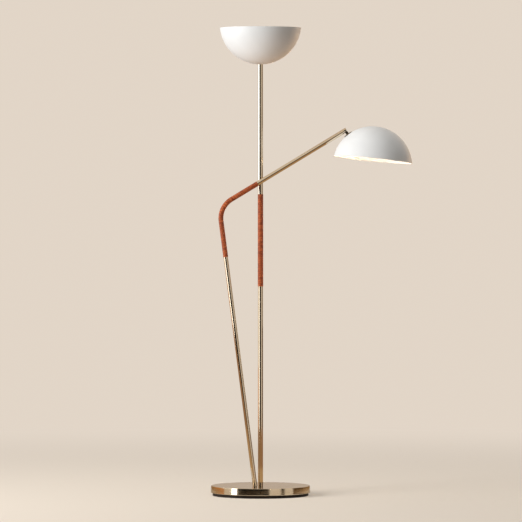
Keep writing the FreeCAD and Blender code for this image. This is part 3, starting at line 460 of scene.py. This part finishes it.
def wound_lace(name, line, across, run, inner, outer, seed, columns=44):
    """A lace wound on a tube: at run s and angle a its turn is s / LACE, a little uneven, less a / 2 pi.

    The surface stands out from the tube's line by inner plus the lace's thickness, which is a flattened arch
    across each turn. line and across give the tube's line and a direction square to it at each run."""
    along = unit(np.gradient(line, axis=0))
    side = np.cross(along, across)
    angle = np.linspace(0, 2 * math.pi, columns + 1)
    count = run / LACE + UNEVENNESS * sway(run, seed, 14.0, 23.0, 37.0)
    turn = count[:, None] - angle[None] / (2 * math.pi)
    lace_run = np.floor(turn) + angle[None] / (2 * math.pi)
    over = 2 * (turn - np.floor(turn)) - 1
    arch = np.sqrt(np.clip(1 - over ** 4, 0, 1))
    swell = 0.5 + 0.5 * sway(lace_run, seed, 0.37, 0.83, 1.31)
    lean = 0.08 * over * sway(lace_run, seed + 3, 0.21, 0.55)
    radius = inner + (outer - inner) * np.clip(0.50 + 0.36 * arch + 0.12 * swell + lean, 0.3, 0.985)
    spoke = np.cos(angle)[None, :, None] * across[:, None] + np.sin(angle)[None, :, None] * side[:, None]
    skin = line[:, None] + radius[:, :, None] * spoke
    hidden = np.arange(len(line))[::-LINING_STEP]
    hidden = np.append(hidden, 0) if hidden[-1] else hidden
    lining = line[hidden][:, None] + inner * spoke[hidden]
    rows = np.concatenate([skin, lining])[:, :-1]
    turns = np.concatenate([turn, turn[hidden]])
    total = len(rows)
    points = rows.reshape(-1, 3)
    row, column = np.meshgrid(np.arange(total), np.arange(columns), indexing="ij")
    below = (row + 1) % total
    beside = (column + 1) % columns
    corners = [(row, column, column), (row, beside, column + 1),
               (below, beside, column + 1), (below, column, column)]
    faces = np.stack([r * columns + c for r, c, _ in corners], 2).reshape(-1, 4)
    piece = mesh_piece(name, points.tolist(), faces.tolist(), sharp_from=60)
    share = np.stack([np.stack([turns[r, k], angle[k] / (2 * math.pi)], 2) for r, _, k in corners], 2)
    lace_map = piece.data.uv_layers.new(name="lace")
    lace_map.data.foreach_set("uv", share.reshape(-1).astype(np.float32))
    return piece


leather, leather_shader = finish("tan_leather", (0.33, 0.075, 0.025), 0, 0.42, Sheen_Weight=0.22,
                                 Sheen_Roughness=0.4, Sheen_Tint=(1.0, 0.82, 0.66, 1))
tree = leather.node_tree
lace = add_node(tree, "UVMap", uv_map="lace").outputs[0]
lace = add_node(tree, "SeparateXYZ", {0: lace}).outputs
turn_number = math_node(tree, "FLOOR", lace[0])
across_turn = math_node(tree, "FRACT", lace[0])
lace_run = math_node(tree, "ADD", turn_number, lace[1])
run_tone = add_node(tree, "CombineXYZ", {0: lace_run, 1: 0.3}).outputs[0]
turn_tone = add_node(tree, "TexNoise", {"Vector": run_tone, "Scale": 2.7, "Detail": 1.0}).outputs["Fac"]
broad_tone = spot(tree, 60, 2)
turn_share = math_node(tree, "MULTIPLY", turn_tone, 0.8)
broad_share = math_node(tree, "MULTIPLY", broad_tone, 0.2)
tone = math_node(tree, "ADD", turn_share, broad_share)
hide = blend_colours(tree, spread(tree, tone, 0, 1, 0.36, 0.64), (0.25, 0.042, 0.010), (0.49, 0.118, 0.034))
# Painted shade: the lace's colour darkens towards each turn's edges, for the shade in the grooves between
# turns.
off_middle = math_node(tree, "SUBTRACT", math_node(tree, "MULTIPLY", across_turn, 2.0), 1.0)
groove_shade = math_node(tree, "ABSOLUTE", off_middle)
groove_shade = spread(tree, groove_shade, 0, 0.75, 0.72, 1.0)
wire(leather, leather_shader, Base_Color=blend_colours(tree, groove_shade, hide, (0.085, 0.014, 0.006)),
     Roughness=spread(tree, spot(tree, 500, 3), 0.38, 0.58))
pore_place = add_node(tree, "TexCoord").outputs["Object"]
pores = add_node(tree, "TexVoronoi", {"Vector": pore_place, "Scale": 1500},
                 feature="SMOOTH_F1").outputs["Distance"]
relief(leather, leather_shader, pores, 0.00012, 0.7)

WRAP_ROWS = 760
STEM_RADIUS = 0.0095
ARM_RADIUS = 0.0085

low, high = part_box("stem_leather_wrap")
run = np.linspace(0, high.z - low.z, WRAP_ROWS)
line = np.stack([np.zeros_like(run), np.zeros_like(run), low.z + run], 1)
back = np.broadcast_to(np.array([0.0, 1.0, 0.0]), line.shape)
stem_lace = wound_lace("stem_leather_lace", line, back, run, STEM_RADIUS, high.x, 1.0)
add_piece(stem_lace, leather, "lamp_frame", "brown_leather", "stem_leather_wrap")

LEG_LEAN = math.radians(7.3)
ARM_RISE = math.radians(31.2)
BEND = 0.083
LEG_FOOT_LEFT = 0.0205
CORNER_HEIGHT = 1.050
WRAP_BELOW_CORNER = 0.1905
WRAP_TO_STEM = 0.0125

low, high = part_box("elbow_leather_wrap")
tube_y = (low.y + high.y) / 2
wrap_radius = (high.y - low.y) / 2
leg_way = np.array([-math.sin(LEG_LEAN), 0, math.cos(LEG_LEAN)])
arm_way = np.array([math.cos(ARM_RISE), 0, math.sin(ARM_RISE)])
turned_by = math.pi / 2 + LEG_LEAN - ARM_RISE
bend_length = BEND * turned_by
to_bend = BEND * math.tan(turned_by / 2)
corner = np.array([-LEG_FOOT_LEFT - CORNER_HEIGHT * math.tan(LEG_LEAN), tube_y,
                   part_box("base_cover")[1].z + CORNER_HEIGHT])
leg_run = WRAP_BELOW_CORNER - to_bend
arm_run = -corner[0] / math.cos(ARM_RISE) - WRAP_TO_STEM - to_bend
run = np.linspace(0, leg_run + bend_length + arm_run, WRAP_ROWS)
on_leg = np.clip(run, 0, leg_run)
on_bend = np.clip(run - leg_run, 0, bend_length) / BEND
on_arm = np.clip(run - leg_run - bend_length, 0, None)
inward = np.array([math.cos(LEG_LEAN), 0, math.sin(LEG_LEAN)])
line = (corner - WRAP_BELOW_CORNER * leg_way + on_leg[:, None] * leg_way + on_arm[:, None] * arm_way
        + BEND * (np.sin(on_bend)[:, None] * leg_way + (1 - np.cos(on_bend))[:, None] * inward))
back = np.broadcast_to(np.array([0.0, 1.0, 0.0]), line.shape)
elbow_lace = wound_lace("elbow_leather_lace", line, back, run, ARM_RADIUS, wrap_radius, 2.0)
add_piece(elbow_lace, leather, "lamp_frame", "brown_leather", "elbow_leather_wrap")


# ---- Leg, elbow and arm ----
# A thinner tube of polished brass in three lengths, the middle one bent round a former. A short brass bridge
# is brazed between it and the stem, where it crosses in front.

give(brass, "leg_tube", "elbow_tube", "arm_tube", "tube_bridge")
give(steel, "leg_coupler", "arm_coupler")


# ---- Bowl ----
# A bowl spun from steel sheet and enamelled white inside and out. A washer and a nut on a hollow stud clamp
# it to the stem's top. The reading shade is made and finished the same way.

enamel, enamel_shader = finish("white_enamel", (0.87, 0.868, 0.855), 0, 0.42, Specular_IOR_Level=0.45)
tree = enamel.node_tree
wire(enamel, enamel_shader, Roughness=spread(tree, spot(tree, 90, 3), 0.36, 0.5),
     Base_Color=mottled(tree, 14, 2, (0.857, 0.853, 0.84), (0.883, 0.882, 0.872)))
relief(enamel, enamel_shader, spot(tree, 1400, 2), 0.00003)
give(enamel, "bowl_shade", "reading_shade")
give(steel, "bowl_stud", "bowl_nut")
give(brass, "bowl_washer")


# ---- Lampholders and knobs ----
# Each holder is a brass cap and shell round a glazed porcelain core. A small fluted knob of moulded black
# plastic turns its switch, on a shaft through the side.

porcelain, porcelain_shader = finish("glazed_porcelain", (0.83, 0.81, 0.77), 0, 0.15, Coat_Weight=0.5)
tree = porcelain.node_tree
wire(porcelain, porcelain_shader, Roughness=spread(tree, spot(tree, 120, 3), 0.1, 0.25),
     Base_Color=mottled(tree, 70, 3, (0.80, 0.78, 0.73), (0.86, 0.85, 0.81)))
give(porcelain, "bowl_holder_insert", "reading_holder_insert")
give(brass, "bowl_holder_cap", "bowl_holder_shell", "reading_holder_cap", "reading_holder_shell")

FLUTES = 16
FLUTE_DEPTH = 0.00045
SHAFT = 0.00198
SHAFT_LENGTH = 0.0098
FACE_HEIGHT = 0.0105
GRIP = 0.00446
WAIST = 0.0035


def fluted_knob(name, joint, foot, body, node):
    """A knob turned about its joint's axis, with a pole at each end.

    At height h and angle a the radius is the profile's, less the flutes' depth times how far the profile's
    flute share goes and (1 + cos(16 a)) / 2; a dished face closes the end."""
    held = next(entry for entry in frame["joints"] if entry["name"] == joint)
    along = np.array(held["axis"], float)
    across = np.array([0.0, 1.0, 0.0])
    third = np.cross(along, across)
    profile = [(SHAFT, -SHAFT_LENGTH, 0), (SHAFT, -0.001, 0), (WAIST - 0.0004, 0.0002, 0), (WAIST, 0.0006, 0),
               (WAIST, 0.002, 0), (0.0042, 0.0034, 0.2), (GRIP, 0.0041, 0.8), (GRIP, 0.0046, 1),
               (GRIP, 0.0092, 1), (GRIP - 0.0001, 0.0100, 0.8), (0.0041, 0.0106, 0.3), (0.0036, 0.01095, 0),
               (0.0030, 0.01098, 0), (0.0024, 0.0107, 0), (0.0012, 0.01055, 0)]
    radius, height, share = np.array(profile).T
    turns = 8 * FLUTES
    angle = np.linspace(0, 2 * math.pi, turns, endpoint=False)
    flute = FLUTE_DEPTH * (1 + np.cos(FLUTES * angle)) / 2
    wide = radius[:, None] - share[:, None] * flute
    spoke = np.cos(angle)[:, None] * across + np.sin(angle)[:, None] * third
    origin = np.array(held["pos_m"]) + foot * along
    rows = origin + height[:, None, None] * along + wide[:, :, None] * spoke
    poles = [origin - SHAFT_LENGTH * along, origin + FACE_HEIGHT * along]
    points = np.concatenate([rows.reshape(-1, 3), poles])
    row, column = np.meshgrid(np.arange(len(profile) - 1), np.arange(turns), indexing="ij")
    beside = (column + 1) % turns
    faces = np.stack([row * turns + column, row * turns + beside, (row + 1) * turns + beside,
                      (row + 1) * turns + column], 2).reshape(-1, 4).tolist()
    first, second = np.arange(turns), (np.arange(turns) + 1) % turns
    last = (len(profile) - 1) * turns
    faces += np.stack([second, first, np.full(turns, last + turns)], 1).tolist()
    faces += np.stack([last + first, last + second, np.full(turns, last + turns + 1)], 1).tolist()
    knob = mesh_piece(name, points.tolist(), faces, sharp_from=50)
    add_piece(knob, bakelite, body, "black_plastic", node)


BOWL_KNOB_FOOT = 0.020
READING_KNOB_FOOT = 0.0145
fluted_knob("bowl_fluted_knob", "bowl_switch_turn", BOWL_KNOB_FOOT, "bowl_knob", "bowl_switch_knob")
fluted_knob("reading_fluted_knob", "reading_switch_turn", READING_KNOB_FOOT, "reading_knob",
            "reading_switch_knob")


# ---- Bulbs ----
# Round bulbs of blown opal glass, sealed to brass screw caps and screwed into the holders. The bowl's is off
# and the reading light's is on.

give(brass, "bowl_bulb_cap", "reading_bulb_cap")
EVEN_SCATTER = (1.0, 0.95, 0.9)
opal, opal_shader = finish("opal_glass", (0.92, 0.90, 0.86), 0, 0.12, Subsurface_Weight=0.3,
                           Subsurface_Scale=0.01, Subsurface_Radius=EVEN_SCATTER, Coat_Weight=0.6)
tree = opal.node_tree
wire(opal, opal_shader, Roughness=spread(tree, spot(tree, 60, 2), 0.08, 0.2),
     Base_Color=mottled(tree, 35, 2, (0.90, 0.88, 0.83), (0.94, 0.93, 0.90)))
give(opal, "bowl_bulb_glass")

glow, glow_shader = finish("lit_opal_glass", (1.0, 0.9, 0.72), 0, 0.2, Emission_Strength=48.0)
tree = glow.node_tree
wire(glow, glow_shader,
     Emission_Color=mottled(tree, 40, 2, (1.0, 0.76, 0.50), (1.0, 0.82, 0.58)))
give(glow, "reading_bulb_glass")


# ---- Knuckle and reading light's seat ----
# The arm ends in a slotted barrel; a tongue tilts in it on a slotted screw between nylon washers.
# Below, a turned disc lies on the shade outside, with a washer and a nut inside.

give(brass, "knuckle_barrel", "knuckle_tongue", "pivot_screw", "reading_washer")
give(steel, "reading_nut")
# Painted shade: the seat disc's brass is coloured dark for the shadow under its edges.
shaded_disc_brass, shaded_disc_shader = finish("brass_dark_as_painted_shade", (0.13, 0.10, 0.065), 1.0, 0.25)
tree = shaded_disc_brass.node_tree
wire(shaded_disc_brass, shaded_disc_shader, Roughness=spread(tree, spot(tree, 150, 3), 0.18, 0.34),
     Base_Color=mottled(tree, 90, 3, (0.10, 0.075, 0.048), (0.17, 0.13, 0.085)))
give(shaded_disc_brass, "reading_seat_disc")
nylon, nylon_shader = finish("clear_nylon", (0.80, 0.78, 0.72), 0, 0.4, Subsurface_Weight=0.2,
                             Subsurface_Scale=0.003, Subsurface_Radius=EVEN_SCATTER)
tree = nylon.node_tree
wire(nylon, nylon_shader, Roughness=spread(tree, spot(tree, 300, 2), 0.32, 0.5),
     Base_Color=mottled(tree, 200, 2, (0.77, 0.75, 0.69), (0.83, 0.81, 0.76)))
give(nylon, "pivot_washers")
